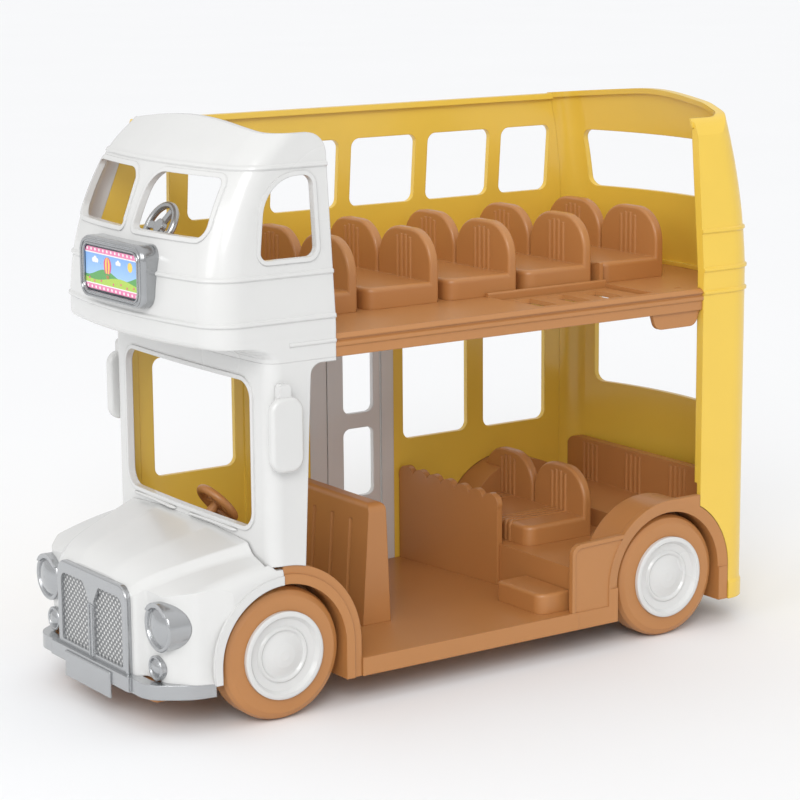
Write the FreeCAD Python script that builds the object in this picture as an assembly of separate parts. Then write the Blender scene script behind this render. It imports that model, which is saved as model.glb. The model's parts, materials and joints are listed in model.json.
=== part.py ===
import FreeCAD, Part
import math
import os
from FreeCAD import Vector

# Toy double decker bus, millimetres. The bus faces -X, its open side is -Y, up is +Z.
# Every piece is drawn with x = 0 above the front axle and z = 0 on the ground, and
# save() moves it so that the origin is under the middle of the whole bus.

# Wheels and axles
WHEELBASE = 198.2
TYRE_RADIUS = 27.0
TYRE_WIDTH = 13.0
HUB_RADIUS = 17.9
HUB_PROUD = 1.9
AXLE_RADIUS = 2.0
AXLE_PLAY = 0.08
WELL_GAP = 2.0
WELL_DEPTH = 19.0
BEARING_Y = 38.0

# Body
HALF_WIDTH = 62.5
WALL = 2.5
LEAN_START = 160.0
LEAN = math.tan(math.radians(5.0))
FLOOR_BOTTOM = 11.9
FLOOR_TOP = 19.5
PLATE = 2.5
PLATFORM_TOP = 38.0
PLATFORM_AHEAD = 50.4
PANEL_AHEAD = 54.1
DECK_BOTTOM = 143.8
DECK_TOP = 152.9
ROOF_RIM = 230.0
RIM_HEIGHT = 2.5
RIM_REACH = 1.6
REAR_OVERHANG = 56.8
REAR_RAKE = 9.8
REAR_BOW = 160.0
REAR_CORNER = 13.0
POST_WIDTH = 39.5
JOINT_AHEAD = 21.8
FRONT_ARCH_RADIUS = 36.5
REAR_ARCH_RADIUS = 34.0
BEAD = 0.8
BEAD_WIDTH = 2.4
SHELL_BEADS = (160.5, 177.8)
REAR_BEADS = (151.0, 161.0, 177.5)

# Front of the upper deck
SHELL_REAR_X = 25.5
SHELL_BOTTOM = 144.0
SHELL_LIP_Z = 152.0
SHELL_LIP = 1.2
SHELL_NOSE_X = -35.6
SHELL_RAKE = 15.1
SHELL_DOME = 7.56
SHELL_DOME_HEIGHT = 20.5
SHELL_CORNER = 14.0
SHELL_BOW_LOW = 250.0
SHELL_BOW_HIGH = 220.0
SHELL_CROWN = 236.5
SHELL_SHOULDER = 5.0
FRAME_WIDTH = 1.8
FRAME_PROUD = 0.6

# Cab and bonnet
CAB_FRONT_X = -7.0
CAB_BOW = 900.0
CAB_CORNER = 6.0
CAB_BOTTOM = 62.0
SCREEN_HALF = 49.9
SCREEN_LOW = 77.0
SCREEN_HIGH = 135.7
SCREEN_CORNER = 7.0
NOSE_X = -50.4
RADIATOR_HALF = 32.0
WING_FRONT_X = -46.6
HOOD_TOP = 76.0
HOOD_RISE = 13.5
HOOD_EDGE_HALF = 49.0
WING_TOP = 63.5
WING_DROP = 12.0
FLARE = 3.6
FLARE_PROUD = 0.6
GRILLE_HALF = 29.25
GRILLE_HIGH = 55.9
GRILLE_DEPTH = 2.4
LAMP_Y = 46.4
LAMP_Z = 43.2
LAMP_RADIUS = 9.9
FOG_Y = 43.0
FOG_Z = 25.8
FOG_RADIUS = 5.0
BUMPER_X = -53.5
BUMPER_LOW = 14.5
BUMPER_HIGH = 20.5
BUMPER_DEPTH = 5.1
BUMPER_MIDDLE = 33.0
PLATE_X = -55.5
PLATE_HALF = 19.0
MIRROR_GAP = 0.8
MIRROR_THICK = 4.2

# Windows
UPPER_WINDOW_LOW = 185.0
UPPER_WINDOW_HIGH = 215.4
UPPER_WINDOW_PILLAR = 6.5
LOWER_WINDOW_LOW = 74.9
LOWER_WINDOW_HIGH = 127.0
LOWER_WINDOW_WIDTH = 36.5
WINDOW_CORNER = 4.0
REAR_WINDOWS = [(48.0, 92.5, 134.0), (50.0, 186.2, 212.8)]

# Passenger door
DOOR_WIDTH = 45.5
DOOR_TOP = 139.0
LEAF_LOW = 21.5
LEAF_HIGH = 135.5
LEAF_GAP = 0.5
PIN_RADIUS = 0.7
PIN_PLAY = 0.08
PIN_REACH = 1.5

# Stair hatch
HATCH_LENGTH = 63.0
HATCH_Y0 = -57.0
HATCH_Y1 = -25.0
HATCH_GAP = 0.6
HATCH_THICK = 2.0
HATCH_SUNK = 1.6
HATCH_RIM = 2.5
HATCH_SLOT = 9.0

# Seats
SEAT_WIDTH = 39.0
SEAT_SLIT = 1.0
SEAT_HEIGHT = 30.2
SEAT_BACK = 4.5
SEAT_DEPTH = 36.0
SEAT_TOP_RADIUS = 15.0
SEAT_EDGE = 1.3
FLUTES = 4
FLUTE_PITCH = 3.2
FLUTE_RADIUS = 0.95
CUSHION_HEIGHT = 9.0
LOWER_SEAT_WIDTH = 37.0
BENCH_TOP = 46.0
BENCH_HIGH = 65.5
BENCH_BACK = 4.5

REAR_X = WHEELBASE + REAR_OVERHANG
POST_X = REAR_X - POST_WIDTH
PLATFORM_X = WHEELBASE - PLATFORM_AHEAD
PANEL_X = WHEELBASE - PANEL_AHEAD
RAKE_TOP = SHELL_CROWN - SHELL_DOME_HEIGHT
SIDE_TOP = SHELL_CROWN - SHELL_SHOULDER
SHELL_LOW = SHELL_LIP_Z + SHELL_LIP
SHELL_FLOOR = SHELL_LOW + 1.5
FRONT_WINDOW_LOW = SHELL_CROWN - 43.5
FRONT_WINDOW_HIGH = SHELL_CROWN - 21.0
SIGN_FRONT_X = SHELL_NOSE_X - 3.9
SIGN_LOW = FRONT_WINDOW_LOW - 29.4
SIGN_HIGH = FRONT_WINDOW_LOW - 4.4
CAB_NOSE_X = CAB_FRONT_X - 0.6
DOOR_X1 = PLATFORM_X - 11.3
DOOR_X0 = DOOR_X1 - DOOR_WIDTH
LEAF_X0 = DOOR_X0 + 9.5
LEAF_X1 = DOOR_X1 - 7.0
HATCH_X0 = REAR_X - 126.5
HATCH_X1 = HATCH_X0 + HATCH_LENGTH
HATCH_LOW = DECK_TOP - HATCH_SUNK - HATCH_THICK
LAST_ROW_X = REAR_X - 28.2
FIRST_ROW_X = SHELL_REAR_X + 37.1
ROWS = 5
MID_X = (PLATE_X + REAR_X + BEAD) / 2.0


def save(shape, node):
    """Write one piece as a STEP file, moved to the frame of the whole bus."""
    solids = shape.removeSplitter().Solids
    moved = Part.makeCompound(solids) if len(solids) > 1 else solids[0]
    moved = moved.copy()
    moved.translate(Vector(-MID_X, 0, 0))
    if not moved.isValid():
        print("not valid:", node)
    moved.exportStep("parts/" + node + ".step")
    print(node, len(solids), "solids", round(moved.Volume), "mm3")


def block(x0, x1, y0, y1, z0, z1):
    return Part.makeBox(x1 - x0, y1 - y0, z1 - z0, Vector(x0, y0, z0))


def rod(radius, x, z, y0, y1):
    """Round bar along Y."""
    return Part.makeCylinder(radius, y1 - y0, Vector(x, y0, z), Vector(0, 1, 0))


def bar(radius, y, z, x0, x1):
    """Round bar along X."""
    return Part.makeCylinder(radius, x1 - x0, Vector(x0, y, z), Vector(1, 0, 0))


def fuse(shapes):
    return shapes[0].multiFuse(shapes[1:]) if len(shapes) > 1 else shapes[0]


def cut(shape, tools):
    return shape.cut(fuse(tools))


def flip(shape):
    """The same piece on the other side of the bus."""
    return shape.mirror(Vector(0, 0, 0), Vector(0, 1, 0))


def soften(shape, radius, pick):
    """Round the edges whose end points all pass the test."""
    edges = [edge for edge in shape.Edges if all(pick(corner.Point) for corner in edge.Vertexes)]
    return shape.makeFillet(radius, edges)


def rounded_wire(points, radii, place):
    """Closed wire through the corners (u, v), each rounded by its own radius."""
    count = len(points)
    if not isinstance(radii, (list, tuple)):
        radii = [radii] * count
    ends = []
    for i in range(count):
        here = Vector(points[i][0], points[i][1], 0)
        before = Vector(points[i - 1][0], points[i - 1][1], 0) - here
        after = Vector(points[(i + 1) % count][0], points[(i + 1) % count][1], 0) - here
        before.normalize()
        after.normalize()
        if radii[i] <= 0:
            ends.append((here, None, here))
            continue
        half = before.getAngle(after) / 2.0
        reach = radii[i] / math.tan(half)
        middle = (before + after).normalize()
        centre = here + middle * (radii[i] / math.sin(half))
        ends.append((here + before * reach, centre - middle * radii[i], here + after * reach))
    edges = []
    for i in range(count):
        start, peak, stop = ends[i]
        if peak is not None:
            edges.append(Part.Arc(place(start), place(peak), place(stop)).toShape())
        follow = ends[(i + 1) % count][0]
        if (follow - stop).Length > 1e-6:
            edges.append(Part.LineSegment(place(stop), place(follow)).toShape())
    return Part.Wire(edges)


def prism(points, radii, axis, start, end):
    """Solid of an outline in the plane square to the axis, from start to end along it."""
    places = {"x": lambda p: Vector(start, p.x, p.y),
              "y": lambda p: Vector(p.x, start, p.y),
              "z": lambda p: Vector(p.x, p.y, start)}
    ways = {"x": Vector(1, 0, 0), "y": Vector(0, 1, 0), "z": Vector(0, 0, 1)}
    wire = rounded_wire(points, radii, places[axis])
    return Part.Face(wire).extrude(ways[axis] * (end - start))


def rectangle(u0, u1, v0, v1):
    return [(u0, v0), (u1, v0), (u1, v1), (u0, v1)]


def lean(z):
    """How far the sides stand in at height z."""
    return max(0.0, z - LEAN_START) * LEAN


def bow_plan(nose, side, bow, corner, back, z):
    """Plan outline with a bowed end at x = nose, rounded corners and a straight back."""
    way = 1.0 if back > nose else -1.0
    middle = nose + way * bow
    offset = math.sqrt((bow - corner) ** 2 - (side - corner) ** 2)
    centre = middle - way * offset

    def corner_points(sign):
        hub = Vector(centre, sign * (side - corner), z)
        out = hub - Vector(middle, 0, z)
        out.normalize()
        touch = hub + out * corner
        flank = Vector(centre, sign * side, z)
        half = (out + Vector(0, sign, 0)).normalize()
        return flank, hub + half * corner, touch

    near = corner_points(-1)
    far = corner_points(1)
    rear_near = Vector(back, -side, z)
    rear_far = Vector(back, side, z)
    edges = [Part.LineSegment(rear_near, near[0]).toShape(),
             Part.Arc(near[0], near[1], near[2]).toShape(),
             Part.Arc(near[2], Vector(nose, 0, z), far[2]).toShape(),
             Part.Arc(far[2], far[1], far[0]).toShape(),
             Part.LineSegment(far[0], rear_far).toShape(),
             Part.LineSegment(rear_far, rear_near).toShape()]
    return Part.Wire(edges)


def upright(plan, height):
    return Part.Face(plan).extrude(Vector(0, 0, height))


def even_levels(low, high, count):
    return [low + (high - low) * i / count for i in range(count + 1)]


def shell_nose(z):
    """Foremost x of the upper deck's front at height z: upright, raked, then domed."""
    x = SHELL_NOSE_X
    if z > LEAN_START:
        x += SHELL_RAKE * ((z - LEAN_START) / (RAKE_TOP - LEAN_START)) ** 2.2
    if z > RAKE_TOP:
        x += SHELL_DOME * ((z - RAKE_TOP) / SHELL_DOME_HEIGHT) ** 2
    return x


def shell_plan(z, inset, back):
    share = min(1.0, max(0.0, (z - LEAN_START) / (RAKE_TOP - LEAN_START)))
    bow = SHELL_BOW_LOW + (SHELL_BOW_HIGH - SHELL_BOW_LOW) * share
    side = HALF_WIDTH - lean(z) - inset
    return bow_plan(shell_nose(z) + inset, side, bow - inset, SHELL_CORNER - inset, back, z)


def shell_solid(inset, low, back):
    """Solid of the front above its lip, stood in by the inset."""
    levels = even_levels(low, SHELL_CROWN + 0.5, 13)
    return Part.makeLoft([shell_plan(z, inset, back) for z in levels], True, False)


def soffit():
    """Underside of the front: a hollow sweep from the cab out to the rolled lip."""
    wires = []
    drop = SHELL_LIP_Z - 0.8 - SHELL_BOTTOM
    lip_x = SHELL_NOSE_X + SHELL_LIP
    for i in range(7):
        turn = math.radians(15.0 * i)
        share = 1.0 - math.cos(turn)
        nose = CAB_NOSE_X + (lip_x - CAB_NOSE_X) * share
        bow = CAB_BOW + (SHELL_BOW_LOW - CAB_BOW) * share
        corner = CAB_CORNER + (SHELL_CORNER - SHELL_LIP - CAB_CORNER) * share
        wires.append(bow_plan(nose, HALF_WIDTH, bow, corner, SHELL_REAR_X,
                              SHELL_BOTTOM + drop * math.sin(turn)))
    wires.append(bow_plan(SHELL_NOSE_X + 0.4, HALF_WIDTH, SHELL_BOW_LOW, SHELL_CORNER - 0.4, SHELL_REAR_X,
                          SHELL_LIP_Z))
    wires.append(shell_plan(SHELL_LOW, 0.0, SHELL_REAR_X))
    return Part.makeLoft(wires, True, True)


def bead_ring(z, plan):
    """Half round bead that follows a plan outline at height z."""
    steps = [(-0.6, 0.4), (-0.2, -BEAD), (0.2, -BEAD), (0.6, 0.4)]
    wires = [plan(z + BEAD_WIDTH * a, b) for a, b in steps]
    return Part.makeLoft(wires, True, True)


def shell_bead(z):
    return bead_ring(z, lambda level, inset: shell_plan(level, inset, SHELL_REAR_X))


def front_window(side, grow):
    """One half of the divided front window; grow widens it for the raised frame."""
    low, high = FRONT_WINDOW_LOW - grow, FRONT_WINDOW_HIGH + grow
    points = [(side * (4.0 - grow), low), (side * (50.5 + grow), low), (side * (49.0 + grow), high),
              (side * (5.0 - grow), high)]
    return prism(points, [2.0 + grow, 5.0 + grow, 3.0 + grow, 9.0 + grow], "x", -60.0, -8.0)


def side_window(grow):
    """Small light behind the near corner, its front top corner swept in one large curve."""
    low, high = FRONT_WINDOW_LOW - 9.0 - grow, FRONT_WINDOW_HIGH + grow
    points = [(-7.5 - grow, low), (18.3 + grow, low), (18.3 + grow, high), (-3.0 - grow, high)]
    return prism(points, [3.0 + grow, 4.0 + grow, 4.0 + grow, 17.0 + grow], "y", -80.0, -40.0)


def upper_shell():
    """White moulding round the front of the upper deck, open at the back and at the top."""
    outer = shell_solid(0.0, SHELL_LOW, SHELL_REAR_X)
    proud = shell_solid(-FRAME_PROUD, SHELL_LOW, SHELL_REAR_X)
    openings = [(front_window(-1, g), front_window(1, g), side_window(g)) for g in (0.0, FRAME_WIDTH)]
    frames = [proud.common(frame) for frame in openings[1]]
    beads = [shell_bead(z) for z in SHELL_BEADS + (SHELL_CROWN - 17.3,)]
    beads.append(bar(0.9, 0.3 - HALF_WIDTH, SHELL_LIP_Z - 1.4, 4.0, SHELL_REAR_X))
    inside = HALF_WIDTH - WALL
    cavity = [shell_solid(WALL, SHELL_FLOOR, SHELL_REAR_X + 1.0),
              block(CAB_FRONT_X + WALL, SHELL_REAR_X + 1.0, -inside, inside,
                    DECK_TOP - PLATE, SHELL_FLOOR + 1.0),
              upright(cab_plan(SHELL_BOTTOM - 1.0, WALL, SHELL_REAR_X + 1.0),
                      DECK_TOP - PLATE - WALL - SHELL_BOTTOM + 1.0)]
    shell = cut(fuse([soffit(), outer] + frames + beads), cavity)
    arch = [(-HALF_WIDTH - 9, SIDE_TOP), (-50.0, SIDE_TOP), (0.0, SHELL_CROWN + 1.0), (50.0, SIDE_TOP),
            (HALF_WIDTH + 9, SIDE_TOP), (HALF_WIDTH + 9, 290.0), (-HALF_WIDTH - 9, 290.0)]
    over = prism(arch, [0, 60, 260, 60, 0, 0, 0], "x", -60.0, 60.0)
    turn = 8.0
    corner = block(SHELL_REAR_X - turn, SHELL_REAR_X + 5, -80.0, 80.0, SIDE_TOP - turn, 290.0)
    corner = corner.cut(rod(turn, SHELL_REAR_X - turn, SIDE_TOP - turn, -80.0, 80.0))
    behind = prism(far_split_line(), 0, "y", inside, 80.0)
    leaning = prism(far_split_line(), 0, "y", 40.0, 80.0).common(
        block(-60.0, 60.0, 40.0, 80.0, LEAN_START, 290.0))
    return cut(shell, [over, corner, behind, leaning] + list(openings[0]))


def far_split_line():
    """Outline of everything behind the line where the yellow side meets the white front."""
    return [(0.5, 140.0), (0.5, SHELL_LIP_Z), (-19.0, SHELL_LIP_Z), (-19.0, 165.0), (-12.8, 188.0),
            (-4.1, 212.0), (3.0, 232.0), (3.0, 292.0), (60.0, 292.0), (60.0, 140.0)]


def cab_plan(z, inset, back):
    return bow_plan(CAB_NOSE_X + inset, HALF_WIDTH - inset, CAB_BOW, CAB_CORNER - inset, back, z)


def screen_opening(grow):
    """Windscreen opening; grow widens it for the raised frame."""
    return prism(rectangle(-SCREEN_HALF - grow, SCREEN_HALF + grow, SCREEN_LOW - grow, SCREEN_HIGH + grow),
                 SCREEN_CORNER + grow, "x", -20.0, 0.0)


def cab():
    """White pillars and windscreen surround between the bonnet and the upper deck."""
    top = SHELL_BOTTOM
    outer = upright(cab_plan(CAB_BOTTOM, 0.0, SHELL_REAR_X), top - CAB_BOTTOM)
    proud = upright(cab_plan(CAB_BOTTOM, -FRAME_PROUD, SHELL_REAR_X), top - CAB_BOTTOM)
    inner = upright(cab_plan(CAB_BOTTOM - 1, WALL, SHELL_REAR_X + 6), top - CAB_BOTTOM + 2)
    near_way_in = prism([(10.0, CAB_BOTTOM - 1), (13.8, top - 1.4), (SHELL_REAR_X + 9, top - 1.4),
                         (SHELL_REAR_X + 9, CAB_BOTTOM - 1)], [0, 5.0, 0, 0], "y", -80.0, 0.0)
    far_back = block(0.5, SHELL_REAR_X + 9, 0.0, 80.0, CAB_BOTTOM - 1, top + 1)
    arch = rod(FRONT_ARCH_RADIUS, 0.0, TYRE_RADIUS, -80.0, 80.0)
    body = outer.fuse(proud.common(screen_opening(FRAME_WIDTH)))
    return cut(body, [inner, screen_opening(0.0), near_way_in, far_back, arch])


def bonnet_section(x, inset):
    """Cross outline at x: wing side, wing top, valley, hood edge and crown."""
    swell = (x - NOSE_X) / (-0.2 - NOSE_X)
    front = math.exp((NOSE_X - x) / 4.0)
    side = HALF_WIDTH - inset
    crown = HOOD_TOP - HOOD_RISE * (1.0 - swell) - 5.5 * front - inset
    edge_z = crown - 3.0 + 0.5 * front
    edge = HOOD_EDGE_HALF - 17.0 * (1.0 - swell) - 5.0 * front - 0.6 * inset
    shoulder = WING_TOP - WING_DROP * (1.0 - swell) ** 2 - inset
    valley = edge_z - 0.55 * (edge_z - shoulder)
    half = [(side, BUMPER_HIGH - inset), (side, shoulder), (edge + 4.0, valley), (edge, edge_z),
            (edge * 0.45, edge_z + 2.2)]
    points = half + [(-y, z) for y, z in reversed(half)]
    radii = [0, 7.0, 5.0, 2.0, 30.0]
    return rounded_wire(points, radii + radii[::-1], lambda p: Vector(x, p.x, p.y))


def nose_plan(inset):
    """Plan of the nose: radiator shell ahead, wings set back, slanted out to the wheels."""
    half = [(NOSE_X, RADIATOR_HALF), (WING_FRONT_X, RADIATOR_HALF + 3.0), (WING_FRONT_X + 0.6, 47.5),
            (-37.5, HALF_WIDTH - 5.0), (-22.0, HALF_WIDTH + 0.5), (6.0, HALF_WIDTH + 0.5)]
    rounds = [3.0, 3.0, 9.0, 9.0, 20.0, 0.0]
    points = [(x, -y) for x, y in half] + half[::-1]
    wire = rounded_wire(points, rounds + rounds[::-1], lambda p: Vector(p.x, p.y, BUMPER_HIGH - 4.0))
    return wire.makeOffset2D(-inset) if inset else wire


def bonnet_form(inset):
    """Hood and wings as one solid: cross outlines along the bus, kept inside the nose's plan."""
    stations = even_levels(NOSE_X, -0.2, 10)
    body = Part.makeLoft([bonnet_section(x, inset) for x in stations], True, False)
    return body.common(upright(nose_plan(inset), HOOD_TOP))


def bonnet(outer):
    """White bonnet and front wings in one moulding, hollow below, flared at the wheels."""
    opening = TYRE_RADIUS + WELL_GAP
    flares = []
    wells = []
    for side in (-1, 1):
        f0, f1 = sorted((side * (HALF_WIDTH - 1.0), side * (HALF_WIDTH + FLARE_PROUD)))
        flare = rod(opening + FLARE, 0.0, TYRE_RADIUS, f0, f1)
        flares.append(flare.common(block(-60.0, -0.2, -80.0, 80.0, BUMPER_HIGH, 99.0)))
        y0, y1 = sorted((side * (HALF_WIDTH + 10.0), side * (HALF_WIDTH - 20.0)))
        wells.append(rod(opening, 0.0, TYRE_RADIUS, y0, y1))
        wells.append(block(-opening, 5.0, y0, y1, 0.0, TYRE_RADIUS))
    behind = block(CAB_FRONT_X, 5.0, -SCREEN_HALF - 9.5, SCREEN_HALF + 9.5, 40.0, 90.0)
    cab_seat = upright(cab_plan(CAB_BOTTOM, 0.0, 14.0), 40.0)
    return cut(fuse([outer] + flares), [bonnet_form(WALL), behind, cab_seat] + wells)


def side_section(z0, z1):
    """Cross outline of the far wall: upright, then leaning in, with a rim inside the top."""
    rim_low = z1 - RIM_HEIGHT
    rim_y = HALF_WIDTH - lean(z1) - WALL - RIM_REACH
    return [(HALF_WIDTH, z0), (HALF_WIDTH, LEAN_START), (HALF_WIDTH - lean(z1), z1), (rim_y, z1),
            (rim_y, rim_low), (HALF_WIDTH - lean(rim_low) - WALL, rim_low),
            (HALF_WIDTH - WALL, LEAN_START), (HALF_WIDTH - WALL, z0)]


def rear_nose(z):
    """Rearmost x of the back at height z: upright, then curving forward to the roof."""
    rise = max(0.0, z - LEAN_START)
    return REAR_X - REAR_RAKE * (rise / 66.0) ** 2


def joint_line():
    """Points up the joint between the far wall and the back, a fixed way ahead of the rear."""
    heights = [0.0] + even_levels(LEAN_START, 250.0, 5)
    return [(rear_nose(z) - JOINT_AHEAD, z) for z in heights]


def upper_windows():
    """Spans of the five windows of the upper deck, evenly spaced; the last one is shorter."""
    first = SHELL_REAR_X + 3.6
    last = REAR_X - 60.3
    pitch = (last - first) / 4.0
    spans = [(first + pitch * i, first + pitch * (i + 1) - UPPER_WINDOW_PILLAR) for i in range(4)]
    return spans + [(last, REAR_X - 32.0)]


def lower_windows():
    """Spans of the cab's window and of the two windows behind the door."""
    behind_door = [REAR_X - 113.2, REAR_X - 67.4]
    return [(11.4, 52.0)] + [(x, x + LOWER_WINDOW_WIDTH) for x in behind_door]


def far_wall():
    """Yellow side wall of both decks, with its windows, the door gap and the wheel arches cut."""
    wall = prism(side_section(FLOOR_TOP, ROOF_RIM), 0, "x", -20.0, REAR_X)
    split = far_split_line()
    front = [(0.5, FLOOR_TOP)] + split[1:8]
    wall = wall.common(prism(front + joint_line()[::-1], 0, "y", 40.0, 80.0))
    inside = HALF_WIDTH - WALL
    bands = [block(x0, x1, inside - 0.8, inside + 0.5, FLOOR_TOP + 2.5, DECK_BOTTOM - 1.0)
             for x0, x1 in ((0.5, 4.3), (56.5, 60.0))]
    tools = [rod(FRONT_ARCH_RADIUS + 0.3, 0.0, TYRE_RADIUS, 40.0, 80.0),
             rod(REAR_ARCH_RADIUS + 0.3, WHEELBASE, TYRE_RADIUS, 40.0, 80.0),
             block(WHEELBASE - REAR_ARCH_RADIUS - 0.3, REAR_X, 40.0, 80.0, 0.0, TYRE_RADIUS),
             block(-FRONT_ARCH_RADIUS, FRONT_ARCH_RADIUS + 0.3, 40.0, 80.0, 0.0, TYRE_RADIUS)]
    spans = [(x0, x1, UPPER_WINDOW_LOW, UPPER_WINDOW_HIGH) for x0, x1 in upper_windows()]
    spans += [(x0, x1, LOWER_WINDOW_LOW, LOWER_WINDOW_HIGH) for x0, x1 in lower_windows()]
    for x0, x1, z0, z1 in spans:
        tools.append(prism(rectangle(x0, x1, z0, z1), WINDOW_CORNER, "y", 40.0, 80.0))
    front_light = [(-3.0, UPPER_WINDOW_LOW), (20.4, UPPER_WINDOW_LOW), (19.6, UPPER_WINDOW_HIGH),
                   (7.0, UPPER_WINDOW_HIGH)]
    tools.append(prism(front_light, [3.0, 4.0, 4.0, 9.0], "y", 40.0, 80.0))
    tools.append(block(DOOR_X0, DOOR_X1, 40.0, 80.0, FLOOR_TOP - 5, DOOR_TOP))
    return cut(fuse([wall] + bands), tools)


def rear_plan(z, inset, front):
    return bow_plan(rear_nose(z) - inset, HALF_WIDTH - lean(z) - inset, REAR_BOW - inset,
                    REAR_CORNER - inset, front, z)


def rear_solid(inset, low):
    """Solid of the rear end: upright to the lean line, then lofted to the roof."""
    front = POST_X - (1.0 if inset else 0.0)
    levels = even_levels(LEAN_START, 238.0, 5)
    upper = Part.makeLoft([rear_plan(z, inset, front) for z in levels], True, False)
    return upright(rear_plan(low, inset, front), LEAN_START - low).fuse(upper)


def above_rear_arch(drop):
    """Everything above the back's arched top edge, lowered by the drop."""
    side = HALF_WIDTH + 9.0
    above_rim = [(-side, -24.0), (-60.0, -17.0), (-54.0, -4.0), (-38.0, 0.5), (0.0, 4.8), (38.0, 1.8),
                 (56.0, 0.3), (side, 0.3)]
    points = [(y, ROOF_RIM + rise - drop) for y, rise in above_rim] + [(side, 270.0), (-side, 270.0)]
    return prism(points, [0, 6, 9, 40, 150, 40, 9, 0, 0, 0], "x", POST_X - 30.0, REAR_X + 45.0)


def rear_wall():
    """Yellow back of the bus with the post that returns along the open side."""
    low = FLOOR_BOTTOM - 0.2
    shell = rear_solid(0.0, low)
    beads = [bead_ring(z, lambda level, inset: rear_plan(level, inset, POST_X)) for z in REAR_BEADS]
    foot = [rear_plan(z, i, POST_X) for z, i in ((low, -0.6), (low + 7.0, -0.6), (low + 8.5, 0.0))]
    beads.append(Part.makeLoft(foot, True, True))
    inner = rear_solid(WALL, low - 5.0)
    shell = cut(fuse([shell] + beads), [inner])
    lining = inner.cut(rear_solid(WALL + RIM_REACH, low - 6.0))
    rim = lining.common(above_rear_arch(RIM_HEIGHT))
    post_edge = lining.common(fuse([block(POST_X, POST_X + 2.2, -80.0, 0.0, z0, z1)
                                    for z0, z1 in ((BENCH_HIGH + 1.0, DECK_BOTTOM - 0.3),
                                                   (DECK_TOP + 0.1, ROOF_RIM - 8.0))]))
    ledge = lining.common(block(REAR_X - 19.0, REAR_X, -HALF_WIDTH, HALF_WIDTH, DECK_TOP, DECK_TOP + 1.8))
    joint = joint_line()
    ahead = prism([(POST_X - 9.0, 0.0)] + joint + [(POST_X - 9.0, joint[-1][1])], 0, "y", 0.0, 80.0)
    tools = [above_rear_arch(0.0), ahead,
             rod(REAR_ARCH_RADIUS + 0.3, WHEELBASE, TYRE_RADIUS, -80.0, 80.0),
             block(POST_X - 5, WHEELBASE + REAR_ARCH_RADIUS + 0.3, -80.0, 80.0, 0.0, TYRE_RADIUS)]
    for half, z0, z1 in REAR_WINDOWS:
        tools.append(prism(rectangle(-half, half, z0, z1), 4.5, "x", REAR_X - 21.0, REAR_X + 45.0))
    return cut(fuse([shell, rim, post_edge, ledge]), tools)


def inner_rear(low, high, gap):
    """Solid that fills the rear end inside the yellow back, less a gap."""
    plan = bow_plan(REAR_X - WALL - gap, HALF_WIDTH - WALL - gap, REAR_BOW - WALL - gap,
                    REAR_CORNER - WALL - gap, 120.0, low)
    return upright(plan, high - low)


def bumper_plan(grow, z):
    """Plan of the bumper's front: straight across, rounded back along the wings."""
    half = [(BUMPER_X, 46.0), (-38.5, HALF_WIDTH - 6.0), (0.0, HALF_WIDTH - 0.5)]
    points = [(x, -y) for x, y in half] + half[::-1]
    wire = rounded_wire(points, [12.0, 20.0, 0.0, 0.0, 20.0, 12.0], lambda p: Vector(p.x, p.y, z))
    return wire.makeOffset2D(grow) if grow else wire


def behind_bumper():
    """Solid that fills the bumper's inner outline from the ground to the bonnet."""
    return upright(bumper_plan(-BUMPER_DEPTH, 0.0), BUMPER_HIGH + 30.0)


def floor_outline(inset):
    """Plan of the lower floor, narrow between the front wheels and full width behind them."""
    step = HALF_WIDTH - WELL_DEPTH - inset
    side = HALF_WIDTH - inset
    wide_x = FRONT_ARCH_RADIUS + 0.2 + inset
    front = -50.0 if inset == 0 else -38.0
    half = [(front, step), (wide_x, step), (wide_x, side), (PLATFORM_X - inset, side)]
    return [(x, -y) for x, y in half] + half[::-1]


def floor_pan():
    """Brown floor tray of the lower deck, with the front axle's bearings."""
    bound = behind_bumper().fuse(block(0.0, PLATFORM_X, -HALF_WIDTH, HALF_WIDTH, 0.0, 60.0))
    tray = prism(floor_outline(0.0), 0, "z", FLOOR_BOTTOM, FLOOR_TOP).common(bound)
    tray = tray.cut(prism(floor_outline(2.0), 0, "z", FLOOR_BOTTOM - 1, FLOOR_TOP - PLATE))
    bearings = []
    for side in (-1, 1):
        y = side * BEARING_Y
        bearings.append(prism([(-9.0, FLOOR_TOP), (9.0, FLOOR_TOP), (5.5, TYRE_RADIUS + 5.5),
                               (-5.5, TYRE_RADIUS + 5.5)], [0, 0, 4.5, 4.5], "y", y - 2.0, y + 2.0))
    tray = fuse([tray] + bearings)
    return tray.cut(rod(AXLE_RADIUS + AXLE_PLAY, 0.0, TYRE_RADIUS, -HALF_WIDTH, HALF_WIDTH))


def arch_ring(x, outer, y0, y1, low):
    """Flat sided wheel arch: half disc with straight legs down to the given height."""
    disc = rod(outer, x, TYRE_RADIUS, y0, y1)
    upper = disc.common(block(x - outer - 1, x + outer + 1, y0 - 1, y1 + 1, TYRE_RADIUS, 99.0))
    return upper.fuse(block(x - outer, x + outer, y0, y1, low, TYRE_RADIUS))


def well_taper(x, side, outer):
    """Cutter that slopes the face of an arch band in towards the wheel opening."""
    face = side * HALF_WIDTH
    inner = TYRE_RADIUS + WELL_GAP
    points = [Vector(inner - 1.0, face + side, 0), Vector(outer, face + side * 0.01, 0),
              Vector(inner, face - side * 0.9, 0), Vector(inner - 1.0, face - side * 0.9, 0)]
    wire = Part.makePolygon(points + points[:1])
    ring = Part.Face(wire).revolve(Vector(0, 0, 0), Vector(0, 1, 0), 360)
    ring.translate(Vector(x, 0, TYRE_RADIUS))
    return ring.common(block(x - 60, x + 60, -80.0, 80.0, TYRE_RADIUS, 99.0))


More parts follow.
